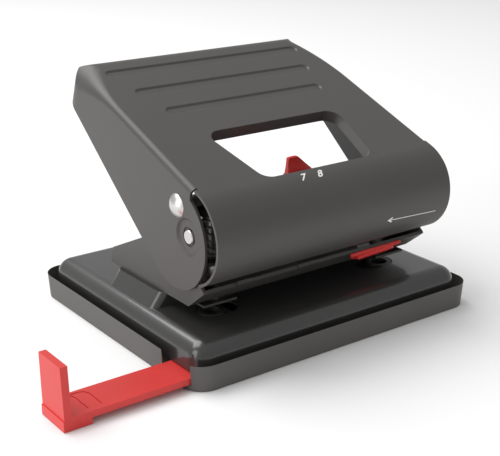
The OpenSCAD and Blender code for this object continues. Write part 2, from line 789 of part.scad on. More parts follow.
module lock_slider() color([0.82, 0.13, 0.13]) on_flange() {
    u = 5;
    upright(slide_gap, 1.3) polygon([
        [lock_x, u + 6.6], [lock_x + 1.5, u + 4], [lock_x + 5, u + 1],
        [lock_x + 9, u], [lock_x + 14, u + 0.3],
        [lock_x + 19, u + 2.6], [lock_x + 24, u + 5.8], [lock_x + lock_w, u + 7.2],
        [lock_x + lock_w - 1, u + 7.6], [lock_x + 8, u + 7.2]]);
    // Ridge for the fingertip
    upright(1.29, 2.2) polygon([
        [lock_x + 5, u + 3], [lock_x + 7, u + 2], [lock_x + 19, u + 4.2], [lock_x + 22, u + 6.4],
        [lock_x + 20, u + 6.8], [lock_x + 8, u + 5]]);
    box(tongue_x, tongue_x + 4, 6.9, 9.1, -frame_t - free_gap, slide_gap + eps);
}

// Tongue behind the flange: a foot on the slider's stem, a leg, and a finger that blocks the catch
module lock_tongue() color([0.55, 0.55, 0.54]) {
    v = -frame_t - free_gap;
    on_flange() box(tongue_x - 1, tongue_x + 5, 5.8, 9.8, v - tongue_t, v);
    base_yz = [flange_y, deck_z] + 8 * unit([lip_y - flange_y, lip_z - deck_z])
        - (v - tongue_t / 2) * unit([lip_z - deck_z, flange_y - lip_y]);
    path = concat([base_yz], arc([pivot_y, pivot_z], tongue_r, 257, 222, 12));
    across(tongue_x, tongue_x + tongue_w) polygon(strip(path, -tongue_t));
    translate([0, pivot_y, pivot_z]) rotate([90, 0, 90]) rotate([0, 0, 222]) rotate_extrude(angle = 6)
        translate([tongue_r - tongue_t + 0.01, tongue_x + tongue_w - eps])
            square([tongue_t - 0.02, finger_w]);
}

chip_tray();
base_plate();
frame();
guide_bracket();
frame_rivets();
pivot_pin_left();
pivot_pin_right();
selector_stud();
handle();
press_rod();
lock_catch();
carriage_left();
carriage_right();
die_left();
die_right();
link_left();
link_right();
link_rivets_left();
link_rivets_right();
punch_pin_left();
punch_pin_right();
pin_cap_left();
pin_cap_right();
spring_left();
spring_right();
selector_lever();
pointer();
paper_guide();
lock_slider();
lock_tongue();
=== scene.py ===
import math

import bmesh
import bpy
from mathutils import Matrix, Vector


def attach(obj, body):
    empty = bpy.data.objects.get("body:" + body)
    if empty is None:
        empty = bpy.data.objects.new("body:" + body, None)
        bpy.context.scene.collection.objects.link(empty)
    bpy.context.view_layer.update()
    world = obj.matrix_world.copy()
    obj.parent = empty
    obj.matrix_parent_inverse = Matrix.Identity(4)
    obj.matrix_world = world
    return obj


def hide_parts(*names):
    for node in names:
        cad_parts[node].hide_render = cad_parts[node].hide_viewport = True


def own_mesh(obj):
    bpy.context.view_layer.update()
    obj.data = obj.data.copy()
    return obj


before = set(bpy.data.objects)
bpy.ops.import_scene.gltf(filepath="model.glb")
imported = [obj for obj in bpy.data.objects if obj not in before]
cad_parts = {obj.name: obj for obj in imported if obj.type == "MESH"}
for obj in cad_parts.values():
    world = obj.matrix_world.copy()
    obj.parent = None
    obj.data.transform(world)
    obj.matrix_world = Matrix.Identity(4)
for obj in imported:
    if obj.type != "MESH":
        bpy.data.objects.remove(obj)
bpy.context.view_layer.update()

# ---------------------------------------------------------------------------
# Chip tray. One moulding in dark grey plastic with a thin upright wall all round.
# It is open on top, and the metal base drops into it; a rail on its floor guides
# the paper guide, which leaves through a notch in the left wall.
# Every piece is shaped in millimetres and scaled to metres when it is finished.

TRAY_HALF = (65.0, 55.5)
TRAY_HEIGHT = 9.5
TRAY_WALL = 1.7
TRAY_FLOOR = 1.6
TRAY_CORNER = 8.5
TRAY_DRAFT = 0.5
NOTCH_Y = (-51.0, -34.9)
RAIL_X = (-58.5, 40)
RAIL_HEIGHT = 5.6
RUNNERS = (-47.5, -39.4)
SHARP = math.radians(32)


class Wire:
    """An output in a material's node tree. A number plus or times it adds a Math node."""

    def __init__(self, tree, socket=None):
        self.tree = tree
        self.socket = socket

    def node(self, kind, settings=None, inputs=None, output=0):
        """Adds one node: its settings are made first, then its sockets get values or links."""
        made = self.tree.nodes.new("ShaderNode" + kind)
        for name, value in (settings or {}).items():
            setattr(made, name, value)
        for name, value in (inputs or {}).items():
            if isinstance(value, Wire):
                self.tree.links.new(value.socket, made.inputs[name])
            else:
                made.inputs[name].default_value = value
        return Wire(self.tree, made.outputs[output])

    def math(self, operation, *values):
        return self.node("Math", {"operation": operation}, dict(enumerate(values)))

    def __radd__(self, other):
        return self.math("ADD", other, self)

    def __rmul__(self, other):
        return self.math("MULTIPLY", other, self)


def place(graph, scale=(1.0, 1.0, 1.0)):
    """The point being shaded, in metres, stretched by scale."""
    here = graph.node("TexCoord", output="Object")
    return graph.node("Mapping", {"vector_type": "POINT"}, {"Vector": here, "Scale": scale})


def noise(graph, where, scale, detail=2.0, roughness=0.5):
    return graph.node("TexNoise", None, {
        "Vector": where, "Scale": scale, "Detail": detail, "Roughness": roughness})


def two_tone(graph, amount, low, high):
    """A colour between low and high."""
    return graph.node("Mix", {"data_type": "RGBA"}, {
        "Factor": amount, "A": (*low, 1.0), "B": (*high, 1.0)}, output="Result")


def new_material(name, **fixed):
    """A material with one Principled shader. fixed are the values that are the same all over."""
    material = bpy.data.materials.new(name)
    material.use_nodes = True
    tree = material.node_tree
    tree.nodes.clear()
    shader = tree.nodes.new("ShaderNodeBsdfPrincipled")
    surface = tree.nodes.new("ShaderNodeOutputMaterial")
    tree.links.new(shader.outputs["BSDF"], surface.inputs["Surface"])
    for socket, value in fixed.items():
        shader.inputs[socket.replace("_", " ")].default_value = value
    return material, Wire(tree), shader


def feed(graph, shader, socket, wire):
    graph.tree.links.new(wire.socket, shader.inputs[socket])


def bump(graph, shader, height, strength, distance):
    raised = graph.node("Bump", None, {"Height": height, "Strength": strength, "Distance": distance})
    feed(graph, shader, "Normal", raised)


def arc(centre, radius, start, end, steps):
    """Points on an arc in a plane, from the angle start to end in degrees."""
    angles = [math.radians(start + (end - start) * i / steps) for i in range(steps + 1)]
    return [(centre[0] + radius * math.cos(a), centre[1] + radius * math.sin(a)) for a in angles]


def corner(before, at, after, radius, steps=8):
    """Points that round the corner at between two neighbours."""
    if radius <= 0:
        return [tuple(at)]
    to_before = (Vector(before) - Vector(at)).normalized()
    to_after = (Vector(after) - Vector(at)).normalized()
    half = to_before.angle(to_after) / 2
    centre = Vector(at) + (to_before + to_after).normalized() * (radius / math.sin(half))
    first = Vector(at) + to_before * (radius / math.tan(half)) - centre
    last = Vector(at) + to_after * (radius / math.tan(half)) - centre
    start = math.degrees(math.atan2(first.y, first.x))
    turn = (math.degrees(math.atan2(last.y, last.x)) - start + 540) % 360 - 180
    return arc(centre, radius, start, start + turn, steps)


def rounded(points, radii, steps=8):
    """A closed outline whose corners have these radii."""
    outline = []
    count = len(points)
    for i, radius in enumerate(radii):
        outline += corner(points[i - 1], points[i], points[(i + 1) % count], radius, steps)
    return outline


def oblong(half_x, half_y, radius, steps=8):
    points = [(-half_x, -half_y), (half_x, -half_y), (half_x, half_y), (-half_x, half_y)]
    return rounded(points, [radius] * 4, steps)


def prism(outline, to_space, depth):
    """A closed solid: the outline, put in space by to_space, extruded by the vector depth."""
    bm = bmesh.new()
    face = bm.faces.new([bm.verts.new(to_space(*point)) for point in outline])
    swept = bmesh.ops.extrude_face_region(bm, geom=[face])
    moved = [v for v in swept["geom"] if isinstance(v, bmesh.types.BMVert)]
    bmesh.ops.translate(bm, verts=moved, vec=depth)
    bmesh.ops.recalc_face_normals(bm, faces=bm.faces)
    return bm


def upright(outline, low, high):
    """Prism on an outline in (x, y) between two heights."""
    return prism(outline, lambda x, y: (x, y, low), (0, 0, high - low))


def across(outline, left, right):
    """Prism on an outline in (y, z) between two places along the row of holes."""
    return prism(outline, lambda y, z: (left, y, z), (right - left, 0, 0))


def along(outline, front, rear):
    """Prism on an outline in (x, z) between two depths."""
    return prism(outline, lambda x, z: (x, front, z), (0, rear - front, 0))


def block(low, high):
    outline = [(low[0], low[1]), (high[0], low[1]), (high[0], high[1]), (low[0], high[1])]
    return upright(outline, low[2], high[2])


def join(*parts):
    """Puts the parts' faces in one mesh, without merging them."""
    whole = parts[0]
    for part in parts[1:]:
        mesh = bpy.data.meshes.new("part")
        part.to_mesh(mesh)
        whole.from_mesh(mesh)
        bpy.data.meshes.remove(mesh)
        part.free()
    return whole


def boolean(base, tool, operation):
    """Base and tool combined as solids. Both are used up."""
    objects = []
    for bm in (base, tool):
        mesh = bpy.data.meshes.new("solid")
        bm.to_mesh(mesh)
        bm.free()
        objects.append(bpy.data.objects.new("solid", mesh))
        bpy.context.scene.collection.objects.link(objects[-1])
    modifier = objects[0].modifiers.new("combine", "BOOLEAN")
    modifier.object = objects[1]
    modifier.operation = operation
    modifier.solver = "EXACT"
    result = bmesh.new()
    result.from_object(objects[0], bpy.context.evaluated_depsgraph_get())
    for old in objects:
        bpy.data.meshes.remove(old.data)
    bmesh.ops.remove_doubles(result, verts=result.verts, dist=0.0005)
    return result


def cut(base, *tools):
    for tool in tools:
        base = boolean(base, tool, "DIFFERENCE")
    return base


def weld(base, *tools):
    for tool in tools:
        base = boolean(base, tool, "UNION")
    return base


def finish(name, bm, material, body, nodes=(), edge=0.2):
    """Makes the piece: scales it to metres, softens its edges and puts it on its body."""
    bmesh.ops.scale(bm, vec=(0.001,) * 3, verts=bm.verts)
    bmesh.ops.dissolve_degenerate(bm, edges=bm.edges, dist=1e-7)
    mesh = bpy.data.meshes.new(name)
    bm.to_mesh(mesh)
    bm.free()
    mesh.materials.append(material)
    piece = bpy.data.objects.new(name, mesh)
    bpy.context.scene.collection.objects.link(piece)
    for polygon in mesh.polygons:
        polygon.use_smooth = True
    if edge:
        soften = piece.modifiers.new("edges", "BEVEL")
        soften.width = edge / 1000
        soften.segments = 3
        soften.limit_method = "ANGLE"
        soften.angle_limit = SHARP
        soften.miter_outer = "MITER_ARC"
        soften.use_clamp_overlap = True
        shade = piece.modifiers.new("shading", "WEIGHTED_NORMAL")
        shade.weight = 100
        shade.keep_sharp = True
    else:
        mesh.set_sharp_from_angle(angle=SHARP)
    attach(piece, body)
    if nodes:
        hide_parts(*nodes)
    return piece


foot_half = [half - TRAY_DRAFT for half in TRAY_HALF]
tray = upright(oblong(*foot_half, TRAY_CORNER - TRAY_DRAFT, 10), 0, TRAY_HEIGHT)
top = [f for f in tray.faces if f.normal.z > 0.9]
bmesh.ops.scale(tray, vec=(TRAY_HALF[0] / foot_half[0], TRAY_HALF[1] / foot_half[1], 1),
                verts=top[0].verts)
bmesh.ops.inset_region(tray, faces=top, thickness=TRAY_WALL, use_even_offset=True)
bmesh.ops.translate(tray, verts=top[0].verts, vec=(0, 0, TRAY_FLOOR - TRAY_HEIGHT))
tray = cut(tray, block((-70, NOTCH_Y[0], 2.0), (-62.6, NOTCH_Y[1], 12)))
sunk = TRAY_FLOOR - 0.1
tray = weld(tray, block((RAIL_X[0], NOTCH_Y[1], sunk), (RAIL_X[1], NOTCH_Y[1] + 1.2, RAIL_HEIGHT)))
for y in RUNNERS:
    tray = weld(tray, block((RAIL_X[0], y, sunk), (RAIL_X[1], y + 1, TRAY_FLOOR + 0.5)))

tray_plastic, graph, shader = new_material("tray_plastic", Metallic=0.0, IOR=1.46)
here = place(graph)
grain = noise(graph, here, 1800, 3, 0.6)
cloud = noise(graph, here, 45, 3)
feed(graph, shader, "Base Color", two_tone(graph, cloud, (0.083, 0.078, 0.073), (0.101, 0.096, 0.090)))
feed(graph, shader, "Roughness", 0.42 + 0.14 * cloud)
bump(graph, shader, grain, 0.25, 0.00003)
finish("chip_tray_shell", tray, tray_plastic, "tray", ["chip_tray"], edge=0.35)

# ---------------------------------------------------------------------------
# Base plate. A shell pressed from 1 mm steel and enamelled gloss black. Its edge is
# rolled down into the tray, and a raised pad across its middle carries the frame; the
# front wall of that pad is the stop that the paper meets.

BASE_HALF = (61.5, 52.0)
BASE_CORNER = 6.4
BASE_ROLL = 6.2
BASE_FOOT = 1.9
BASE_TOP = 15.2
BASE_SHEET = 1.0
HOLES = (35.0, 40.0)
PUNCH_Y = -28.5
PAD_TOP = 20.5
PAD_HALF = (57.2, 53.0)
PAD_FRONT = -16.5
PAD_REAR = 15.0
PAD_CORNER = 3.5
DIE_SLOT = 5.5
BRACKET_SLOT = (27.5, 47.5)
GUIDE_GAP = 4.9


def rolled_shell(inward):
    """The outer form of the base, or its hollow when inward is the sheet's thickness."""
    bm = upright(oblong(BASE_HALF[0] - inward, BASE_HALF[1] - inward, BASE_CORNER - inward, 10),
                 BASE_FOOT - inward * 3, BASE_TOP - inward)
    rim = [e for e in bm.edges if all(v.co.z > BASE_TOP - inward - 0.01 for v in e.verts)]
    bmesh.ops.bevel(bm, geom=rim, affect="EDGES", offset=BASE_ROLL - inward, offset_type="OFFSET",
                    segments=12, profile=0.5, material=-1, clamp_overlap=False)
    return bm


def pad(inward, foot):
    """The raised pad: a ramp at each end and upright front and rear walls with round corners."""
    bm = upright(oblong(PAD_HALF[0] - inward, (PAD_REAR - PAD_FRONT) / 2 - inward, PAD_CORNER - inward, 6),
                 foot, PAD_TOP - inward)
    bmesh.ops.translate(bm, verts=bm.verts, vec=(0, (PAD_REAR + PAD_FRONT) / 2, 0))
    upper = [v for v in bm.verts if v.co.z > PAD_TOP - inward - 0.01]
    for v in upper:
        v.co.x -= math.copysign(PAD_HALF[0] - PAD_HALF[1], v.co.x)
    return bm


def slot_outline(start, end, y, radius, steps=14):
    return arc((end, y), radius, -90, 90, steps) + arc((start, y), radius, 90, 270, steps)


base = cut(weld(rolled_shell(0), pad(0, BASE_TOP - 0.5)),
           rolled_shell(BASE_SHEET), pad(BASE_SHEET, BASE_TOP - 1.5))
for side in (-1, 1):
    low, high = sorted(side * x for x in HOLES)
    base = cut(base, upright(slot_outline(low, high, PUNCH_Y, DIE_SLOT), 12, 18))
    low, high = sorted(side * x for x in BRACKET_SLOT)
    base = cut(base, block((low, -18.0, 19.2), (high, -12.3, 24)))
base = cut(base, block((-63, NOTCH_Y[0] + 0.2, 0), (-59.5, NOTCH_Y[1] - 0.2, GUIDE_GAP)))

black_enamel, graph, shader = new_material("black_enamel", IOR=1.5, Coat_Roughness=0.08, Coat_IOR=1.5)
here = place(graph)
peel = noise(graph, here, 420, 2)
cloud = noise(graph, here, 30, 2)
feed(graph, shader, "Base Color", two_tone(graph, cloud, (0.028, 0.027, 0.026), (0.036, 0.035, 0.034)))
feed(graph, shader, "Roughness", 0.24 + 0.1 * cloud)
shader.inputs["Coat Weight"].default_value = 0.5
bump(graph, shader, peel, 0.08, 0.00004)
finish("base_plate_shell", base, black_enamel, "base", ["base_plate"], edge=0.45)

# ---------------------------------------------------------------------------
# Frame. A bridge folded from 1.2 mm steel and enamelled black: a deck riveted to the
# pad, a front flange that slants up to a lip, and two side plates with the pivot holes.
# The bracket behind the punch units is a second folded strip riveted to the deck.

FRAME_HALF = 51.4
FRAME_SHEET = 1.2
DECK = 20.5
DECK_TOP = 21.7
PIVOT = (-34.8, 47.1)
LIP = (-41.0, 28.0)
FLANGE_FOOT = (-31.6, 20.5)
FRAME_REAR = 21.5
WALL_Y = -12.5
WALL_TOP = 44.0
PIN_SLOT = 3.6
BRACKET_FOOT = 22.9
RIVETS = [(x, -6.5, BRACKET_FOOT) for x in (-44, -22, 22, 44)] + [(x, 9.0, DECK_TOP) for x in (-40, 40)]
LIP_STEPS = ((-37.5, -31.3), (-10.7, 13.9))
LOCK_SLOT = (20.7, 31.3)

ribbon = (corner(LIP, FLANGE_FOOT, (0, DECK), 1.8, 6) + [(FRAME_REAR, DECK), (FRAME_REAR, DECK_TOP)]
          + corner((0, DECK_TOP), (-31.18, DECK_TOP), (-40.25, 28.94), 0.6, 5) + [(-40.25, 28.94), LIP])
side_plate = ([(-31.2, DECK), (FRAME_REAR, DECK), (19.7, 26.9)]
              + corner((19.7, 26.9), (-15.0, 43.2), (-27.8, 44.0), 6)
              + arc(PIVOT, 7.0, -25, 180, 24)
              + arc(PIVOT, 15.5, 243.2, 255.4, 8)
              + [(-39.3, 29.8), (-40.6, 28.8), LIP])
bridge = across(ribbon, -FRAME_HALF, FRAME_HALF)
for left in (-FRAME_HALF, FRAME_HALF - FRAME_SHEET):
    bridge = weld(bridge, across(side_plate, left, left + FRAME_SHEET))
for left, right in LIP_STEPS:
    step = [(-40.6, 27.6), (-41.55, 28.4), (-40.85, 29.35), (-39.9, 28.6)]
    bridge = weld(bridge, across(step, left, right))
for side in (-1, 1):
    low, high = sorted(side * x for x in HOLES)
    bridge = cut(bridge, upright(slot_outline(low, high, PUNCH_Y, PIN_SLOT), 19, 23.2))
    low, high = sorted(side * x for x in BRACKET_SLOT)
    bridge = cut(bridge, block((low, -14.7, 19), (high, -12.6, 24)))
bridge = cut(bridge, across([(-35, 24), (-37.2, 22), (-41, 27), (-38, 30)], *LOCK_SLOT))

satin_black, graph, shader = new_material("satin_black", IOR=1.5)
here = place(graph)
powder = noise(graph, here, 1500, 2)
cloud = noise(graph, here, 40, 2)
feed(graph, shader, "Base Color", two_tone(graph, cloud, (0.050, 0.047, 0.044), (0.060, 0.057, 0.053)))
feed(graph, shader, "Roughness", 0.34 + 0.12 * cloud)
bump(graph, shader, powder, 0.12, 0.00003)
finish("frame_bridge", bridge, satin_black, "base", ["frame"], edge=0.25)

wall_back = WALL_Y + FRAME_SHEET
strip = ([(-3, DECK_TOP), (-3, BRACKET_FOOT)]
         + corner((-3, BRACKET_FOOT), (wall_back, BRACKET_FOOT), (wall_back, WALL_TOP), 0.5, 4)
         + [(wall_back, WALL_TOP), (WALL_Y, WALL_TOP)]
         + corner((WALL_Y, WALL_TOP), (WALL_Y, DECK_TOP), (-3, DECK_TOP), 1.6, 6))
finish("unit_bracket", across(strip, -49.5, 49.5), satin_black, "base",
       ["guide_bracket"], edge=0.25)

# ---------------------------------------------------------------------------
# Rivets, pivot pins and press rod. Turned steel, zinc plated bright.
# The rod passes through both cheeks and its ends are headed over into low domes.

SIDES = ((-1, "left"), (1, "right"))
ROD_Y, ROD_Z = -28.5, 56.6
ROD_RADIUS = 2.5
ROD_END = 53.4
ROD_HEAD = 8.4


def turned(profile, centre, axis, steps=36):
    """A solid of revolution: profile is (radius, place along the axis) from end to end."""
    bm = bmesh.new()
    axis = Vector(axis)
    sideways = axis.orthogonal().normalized()
    points = [bm.verts.new(Vector(centre) + sideways * r + axis * along_axis) for r, along_axis in profile]
    line = [bm.edges.new(pair) for pair in zip(points, points[1:])]
    bmesh.ops.spin(bm, geom=points + line, cent=centre, axis=axis, angle=math.tau, steps=steps,
                   use_merge=True)
    bmesh.ops.remove_doubles(bm, verts=bm.verts, dist=0.0005)
    bmesh.ops.recalc_face_normals(bm, faces=bm.faces)
    return bm


def domed(diameter, height, foot=0.0, steps=9):
    """Profile of a low domed head, from its rim to its crown."""
    ball = (diameter ** 2 / 4 + height ** 2) / (2 * height)
    rim = math.degrees(math.asin(diameter / 2 / ball))
    angles = [math.radians(rim * (1 - i / steps)) for i in range(steps + 1)]
    return [(ball * math.sin(a), foot + height - ball + ball * math.cos(a)) for a in angles]


bright_steel, graph, shader = new_material("bright_steel", Metallic=1.0)
here = place(graph)
fine = noise(graph, here, 900, 3, 0.6)
patch = noise(graph, here, 120, 2)
feed(graph, shader, "Base Color", two_tone(graph, patch, (0.56, 0.55, 0.53), (0.68, 0.67, 0.65)))
feed(graph, shader, "Roughness", 0.26 + 0.16 * fine)
bump(graph, shader, fine, 0.1, 0.00002)

heads = [turned([(0, -4.2), (2.6, -4.2), (2.8, -4.0), (2.8, -3.4), (2.0, -3.4), (2.0, 0), (3.4, 0.0)]
                + domed(7.0, 1.6, 0.1), (x, y, z), (0, 0, 1)) for x, y, z in RIVETS]
for head, (x, y, z) in zip(heads, RIVETS):
    shank = [v for v in head.verts if v.co.z < z - 2.5]
    bmesh.ops.translate(head, verts=shank, vec=(0, 0, 0 if z == BRACKET_FOOT else FRAME_SHEET))
finish("rivet_heads", join(*heads), bright_steel, "base", ["frame_rivets"], edge=0)

pin_profile = [(0, 48.7), (4.2, 48.7), (4.5, 49.0), (4.5, 50.2), (2.5, 50.2), (2.5, 52.9), (2.25, 53.2),
               (0, 53.2)]
for side, name in SIDES:
    pin = turned(pin_profile, (0, *PIVOT), (side, 0, 0))
    finish("pivot_pin_end_" + name, pin, bright_steel, "base", ["pivot_pin_" + name], edge=0)

rod_head = domed(ROD_HEAD, 1.9)
rod = turned([(0, -ROD_END - 1.9)] + [(r, -ROD_END - h) for r, h in reversed(rod_head)]
             + [(ROD_RADIUS, -ROD_END), (ROD_RADIUS, ROD_END)] + [(r, ROD_END + h) for r, h in rod_head],
             (0, ROD_Y, ROD_Z), (1, 0, 0), 48)
finish("headed_rod", rod, bright_steel, "handle", ["press_rod"], edge=0)

# ---------------------------------------------------------------------------
# Handle. Pressed from 1 mm steel and painted satin grey: a top panel with three
# grooves and a window with a drawn rim, cheeks down both sides with a dish round each
# pivot pin, and a front edge rolled through 140 degrees about the pivot.

SLOPE = 20.4
SHEET = 1.0
CHEEK = 53.4
PANEL = 17.3
LOBE = ((6.8, -5.0), 18.5)
SLIT = 3.5
FLAP = 53.0
NOSE = ((82.5, 10.5), 6.8)
LENGTH = 89.3
HEEL = 3.2
BEND = 2.3
BEND_OPENS = 52.0
BEND_GROWS = (32.0, 8.0)
REAR_CORNER = 8.0
RIM_FOOT = 12.8
HEM = 0.75
GROOVE_WIDE = (2.35, 1.75)
GROOVE_DEEP = 0.6
GROOVE_LIP = 0.4
GROOVES = [(76.5, 45.0), (62.2, 40.5), (47.9, 36.0)]
WINDOW = [(-24.5, 1.0), (24.5, 1.0), (30.5, 31.7), (-30.5, 31.7)]


def meet(base, tool):
    return boolean(base, tool, "INTERSECT")


def pressing(inward, outline):
    """The outline across the handle, with its top bends and rear corners rounded."""
    half = CHEEK - inward
    length, growth = BEND_GROWS
    stations = [(-90, BEND), (BEND_OPENS, BEND)]
    stations += [(BEND_OPENS + length * i / 10, BEND + growth * (i / 10) ** 2) for i in range(1, 11)]
    stations.append((120, BEND + growth))
    trough, last = bmesh.new(), []
    for y, bend in stations:
        section = ([(-half, -40)] + arc((bend - CHEEK, PANEL - bend), bend - inward, 180, 90, 10)
                   + arc((CHEEK - bend, PANEL - bend), bend - inward, 90, 0, 10) + [(half, -40)])
        ring = [trough.verts.new((x, y, z)) for x, z in section]
        for i in range(len(ring) if last else 0):
            trough.faces.new((last[i - 1], last[i], ring[i], ring[i - 1]))
        if not last or y == 120:
            trough.faces.new(ring)
        last = ring
    bmesh.ops.recalc_face_normals(trough, faces=trough.faces)
    plan = rounded([(-half, -60), (half, -60), (half, LENGTH - inward), (-half, LENGTH - inward)],
                   [0, 0, REAR_CORNER - inward, REAR_CORNER - inward], 10)
    return meet(meet(across(outline, -CHEEK - 5, CHEEK + 5), trough), upright(plan, -60, 40))


def window_outline(grow):
    """The window, grown all round by a few millimetres."""
    lean = (WINDOW[2][0] - WINDOW[1][0]) / (WINDOW[2][1] - WINDOW[1][1])
    reach = grow * math.hypot(1, lean)
    points = [(x + math.copysign(reach + (lean * grow if s > 10 else -lean * grow), x),
               s + (grow if s > 10 else -grow)) for x, s in WINDOW]
    return rounded(points, [5 + grow] * 4, 10)


def groove(s, half, wide, deep, low, high):
    """A slot with round ends whose walls lean in from the radius wide to deep."""
    reach = half - 2.3
    bm = upright(slot_outline(-reach, reach, s, wide, 10), low, high)
    for v in bm.verts:
        if v.co.z < (low + high) / 2:
            spine = Vector((max(-reach, min(reach, v.co.x)), s, v.co.z))
            v.co = spine + (v.co - spine) * (deep / wide)
    return bm


def edges_in_panel(front, rear, half, steep):
    """The shell's edges in the top panel's plane where a wall steeper than a limit begins."""
    return [e for e in shell.edges
            if all(abs(v.co.z - PANEL) < 0.01 and front < v.co.y < rear and abs(v.co.x) < half
                   for v in e.verts)
            and any(abs(f.normal.z) < steep for f in e.link_faces)]


heel_way = Vector((LENGTH, HEEL)) - Vector(LOBE[0])
low_tangent = math.degrees(math.atan2(heel_way.y, heel_way.x) - math.acos(LOBE[1] / heel_way.length)) + 360
cheek = arc(*LOBE, low_tangent, 102, 56) + [(SLIT, PANEL - 2.2), (SLIT, PANEL)] + arc(*NOSE, 90, 0, 14)
cheek += corner((LENGTH, 10), (LENGTH, HEEL), cheek[0], 1.5, 6)
hollow = ([(-40, -38), (-40, PANEL - SHEET)] + arc(NOSE[0], NOSE[1] - SHEET, 90, 0, 14)
          + [(LENGTH - SHEET, -38)])
shell = cut(pressing(0, cheek), pressing(SHEET, hollow))
rolled = across([(SLIT - 0.8, PANEL)] + arc((0, 0), PANEL, 90, 230, 56)
                + arc((0, 0), PANEL - SHEET, 230, 90, 56) + [(SLIT - 0.8, PANEL - SHEET)], -FLAP, FLAP)
for v in rolled.verts:
    around = math.degrees(math.atan2(v.co.z, v.co.y)) % 360
    v.co.x -= math.copysign(0.5 * max(0, min(1, (125 - around) / 45)), v.co.x)
shell = weld(shell, weld(rolled, block((BEND - CHEEK, 1.0, PANEL - SHEET), (CHEEK - BEND, SLIT + 1, PANEL))))
rim = cut(upright(window_outline(SHEET), RIM_FOOT, PANEL - 0.4), block((-60, -20, 0), (60, 3, 30)))
shell = weld(shell, rim)
shell = weld(shell, *[groove(s, half, 2.3, 2.1, 15.8, 16.6) for s, half in GROOVES])
shell = cut(shell, upright(window_outline(0), 5, 30))
hem = edges_in_panel(0.5, 32.5, 31, 0.5)
bmesh.ops.bevel(shell, geom=hem, affect="EDGES", offset=HEM, segments=5, profile=0.5, material=-1,
                clamp_overlap=True)
for s, half in GROOVES:
    shell = cut(shell, groove(s, half, *GROOVE_WIDE, PANEL - GROOVE_DEEP, PANEL + 0.05))
lips = edges_in_panel(40, 80, 46, 0.9)
bmesh.ops.bevel(shell, geom=lips, affect="EDGES", offset=GROOVE_LIP, segments=4, profile=0.5, material=-1,
                clamp_overlap=True)
dish_back = [(0, 51.7), (7.3, 51.7), (7.3, 52.6), (0, 52.6)]
dish = [(0, 52.7), (5.9, 52.7), (6.8, 53.45), (6.8, 55), (0, 55)]
pin_hole = [(0, 50), (2.56, 50), (2.56, 52.0), (3.5, 52.2), (3.5, 55), (0, 55)]
for side in (-1, 1):
    shell = weld(shell, turned(dish_back, (0, 0, 0), (side, 0, 0), 48))
    shell = cut(shell, turned(dish, (0, 0, 0), (side, 0, 0), 48))
    shell = cut(shell, turned(pin_hole, (0, 0, 0), (side, 0, 0), 40))
to_handle = Matrix.Translation((0, PIVOT[0], PIVOT[1])) @ Matrix.Rotation(math.radians(SLOPE), 4, "X")
bmesh.ops.transform(shell, matrix=to_handle, verts=shell.verts)

satin_grey, graph, shader = new_material("satin_grey", IOR=1.5)
here = place(graph)
powder = noise(graph, here, 1300, 3, 0.6)
cloud = noise(graph, here, 26, 3)
feed(graph, shader, "Base Color", two_tone(graph, cloud, (0.056, 0.052, 0.049), (0.068, 0.064, 0.060)))
feed(graph, shader, "Roughness", 0.38 + 0.12 * cloud)
bump(graph, shader, powder, 0.2, 0.00003)
finish("handle_shell", shell, satin_grey, "handle", ["handle"], edge=0.22)

# The printed marks lie a hair above the rolled front: two numbers on its top for the
# spacing settings, and an arrow for the lock's direction lower down.

PRINT = 0.03
NUMBERS = (("7", -10.6), ("8", -3.2))
NUMBER_SIZE = 4.3
NUMBER_ANGLE = 118.0
NUMBER_SLANT = 0.5
ARROW_X = 35.3
ARROW_ANGLE = 199.5
ARROW_SLANT = -0.055


def on_roll(x, angle, lift):
    """A place on the rolled front: angle is about the pivot, from the rear, in degrees."""
    a = math.radians(angle)
    r = PANEL + PRINT + lift
    return Vector((x, PIVOT[0] + r * math.cos(a), PIVOT[1] + r * math.sin(a)))


def printed(name, flat, x, angle):
    """Wraps a flat mesh in millimetres round the rolled front, with its own z as its thickness."""
    bmesh.ops.subdivide_edges(flat, edges=[e for e in flat.edges if e.calc_length() > 1.5], cuts=3)
    for v in flat.verts:
        v.co = on_roll(x + v.co.x, angle - math.degrees(v.co.y / PANEL), max(0, v.co.z))
    bmesh.ops.recalc_face_normals(flat, faces=flat.faces)
    return finish(name, flat, white_print, "handle", edge=0)


white_print, graph, shader = new_material("white_print")
here = place(graph)
worn = noise(graph, here, 2500, 2)
feed(graph, shader, "Base Color", two_tone(graph, worn, (0.74, 0.74, 0.72), (0.84, 0.84, 0.83)))
feed(graph, shader, "Roughness", 0.5 + 0.1 * worn)

for digit, x in NUMBERS:
    letter = bpy.data.curves.new("number", "FONT")
    letter.body = digit
    letter.size = NUMBER_SIZE
    letter.offset = 0.1
    letter.extrude = 0.01
    letter.align_x = "CENTER"
    carrier = bpy.data.objects.new("number", letter)
    bpy.context.scene.collection.objects.link(carrier)
    bpy.context.view_layer.update()
    flat = bmesh.new()
    flat.from_mesh(bpy.data.meshes.new_from_object(carrier))
    bpy.data.curves.remove(letter)
    bmesh.ops.remove_doubles(flat, verts=flat.verts, dist=0.001)
    bmesh.ops.translate(flat, verts=flat.verts, vec=(0, -1.5, 0.01))
    for v in flat.verts:
        v.co.x += NUMBER_SLANT * v.co.y
    printed("number_" + digit, flat, x, NUMBER_ANGLE)

shaft = upright([(-12.6, -0.16), (11.6, -0.16), (11.6, 0.16), (-12.6, 0.16)], 0, 0.02)
tip = upright([(-13.4, 0), (-11.2, -1.15), (-10.8, -0.85), (-12.0, 0), (-10.8, 0.85), (-11.2, 1.15)], 0, 0.02)
arrow = weld(shaft, tip)
bmesh.ops.subdivide_edges(arrow, edges=[e for e in arrow.edges if e.calc_length() > 3], cuts=2)
for v in arrow.verts:
    v.co.y += ARROW_SLANT * v.co.x
printed("arrow", arrow, ARROW_X, ARROW_ANGLE)

